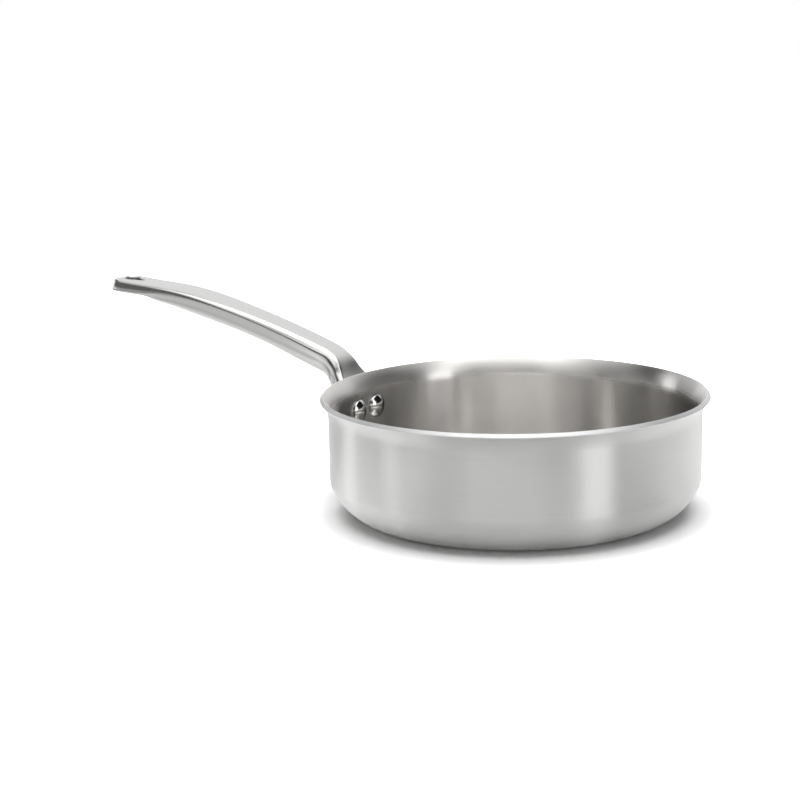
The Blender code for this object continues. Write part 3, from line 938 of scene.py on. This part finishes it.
def studioWorld():
    # The softboxes on a dim room for the steel, and plain white for the camera
    world = bpy.data.worlds.new("studio")
    scene.world = world
    world.use_nodes = True
    tree = world.node_tree
    tree.nodes.clear()
    path = addNode(tree, "ShaderNodeLightPath")
    place = addNode(tree, "ShaderNodeTexCoord")
    axes = addNode(tree, "ShaderNodeSeparateXYZ", {0: place.outputs["Generated"]})
    flat = addNode(tree, "ShaderNodeCombineXYZ", {"X": axes.outputs["X"], "Y": axes.outputs["Y"]})
    heading = addNode(tree, "ShaderNodeVectorMath", {0: flat.outputs[0]}, operation="NORMALIZE")

    def fadeIn(value, start, end, top=1.0):
        return addNode(tree, "ShaderNodeMapRange",
                       {"Value": value, "From Min": start, "From Max": end, "To Max": top},
                       interpolation_type="SMOOTHSTEP").outputs["Result"]

    level = studio["room"]
    for azimuth, halfWidth, low, high, brightness, fade in softboxes.values():
        glow = fadeIn(axes.outputs["Z"], sin(radians(low - fade)), sin(radians(low + fade)),
                      brightness)
        limits = []
        if halfWidth < 180:
            toBox = (cos(radians(azimuth)), sin(radians(azimuth)), 0)
            near = addNode(tree, "ShaderNodeVectorMath", {0: heading.outputs[0], 1: toBox},
                           operation="DOT_PRODUCT")
            limits.append(fadeIn(near.outputs["Value"], cos(radians(halfWidth + fade)),
                                 cos(radians(max(halfWidth - fade, 0)))))
        if high < 90:
            limits.append(fadeIn(axes.outputs["Z"], sin(radians(high + fade)),
                                 sin(radians(high - fade))))
        for limit in limits:
            glow = addNode(tree, "ShaderNodeMath", {0: glow, 1: limit},
                           operation="MULTIPLY").outputs[0]
        level = addNode(tree, "ShaderNodeMath", {0: level, 1: glow}, operation="ADD").outputs[0]
    shown = addNode(tree, "ShaderNodeMix", {0: path.outputs["Is Camera Ray"], 2: level, 3: 1.0},
                    data_type="FLOAT")
    back = addNode(tree, "ShaderNodeBackground",
                   {"Color": (1, 1, 1, 1), "Strength": shown.outputs[0]})
    addNode(tree, "ShaderNodeOutputWorld", {"Surface": back.outputs[0]})
    world.cycles_visibility.diffuse = False      # the floor is lit by the overhead lamp alone


def addScrim(name, first, last, distance, low, high, brightness):
    # An upright panel that faces the pan, for the steel alone
    half = radians((last - first) / 2)
    turn = radians((first + last) / 2)
    panel = bpy.data.lights.new(name, "AREA")
    panel.shape = "RECTANGLE"
    panel.size = 2 * distance * sin(half) / cos(half)
    panel.size_y = high - low
    panel.energy = brightness * pi * panel.size * panel.size_y
    away = Vector((cos(turn), sin(turn), 0))
    stand = addObject(name, panel)
    stand.location = away * distance + Vector((0, 0, (low + high) / 2))
    stand.rotation_euler = away.to_track_quat("Z", "Y").to_euler()
    stand.visible_camera = False
    stand.visible_diffuse = False


def addOverheadLamp():
    # Casts the soft shadow, a little forwards; the steel sees the overhead softbox instead
    lamp = bpy.data.lights.new("overheadLamp", "SUN")
    lamp.energy = pi
    lamp.angle = radians(studio["lampAngle"])
    stand = addObject("overheadLamp", lamp)
    tilt, side = radians(studio["lampTilt"]), radians(studio["lampSide"])
    towards = Vector((sin(tilt) * cos(side), sin(tilt) * sin(side), cos(tilt)))
    stand.rotation_euler = towards.to_track_quat("Z", "Y").to_euler()
    stand.visible_glossy = False


studioFloor()
studioWorld()
addOverheadLamp()
for name, values in scrims.items():
    addScrim(name, *values)


# Camera, where the photograph's stood

camera = {
    "azimuth": 31.3,         # degrees round the pan
    "elevation": 13.571,
    "distance": 1.2,         # m from a point above the middle of the base
    "aimHeight": 0.035,
    "swing": 3.607,          # degrees that the view turns from that point
    "tilt": -1.763,
    "roll": -1.272,
    "lens": 83.16,           # mm,
    "sensor": 36,            # on a sensor of this width
    "clip": (0.05, 50),      # m
}


def addCamera():
    lens = bpy.data.cameras.new("camera")
    lens.lens = camera["lens"]
    lens.sensor_width = camera["sensor"]
    lens.clip_start, lens.clip_end = camera["clip"]
    stand = addObject("camera", lens)
    a, e = radians(camera["azimuth"]), radians(camera["elevation"])
    back = Vector((sin(a) * cos(e), -cos(a) * cos(e), sin(e)))
    stand.location = back * camera["distance"] + Vector((0, 0, camera["aimHeight"]))
    turn = (Matrix.Rotation(radians(camera["azimuth"] + camera["swing"]), 4, "Z")
            @ Matrix.Rotation(radians(90 - camera["elevation"] - camera["tilt"]), 4, "X")
            @ Matrix.Rotation(radians(camera["roll"]), 4, "Z"))
    stand.rotation_euler = turn.to_euler()
    scene.camera = stand


addCamera()
scene.view_settings.view_transform = "Standard"
print("studio made")
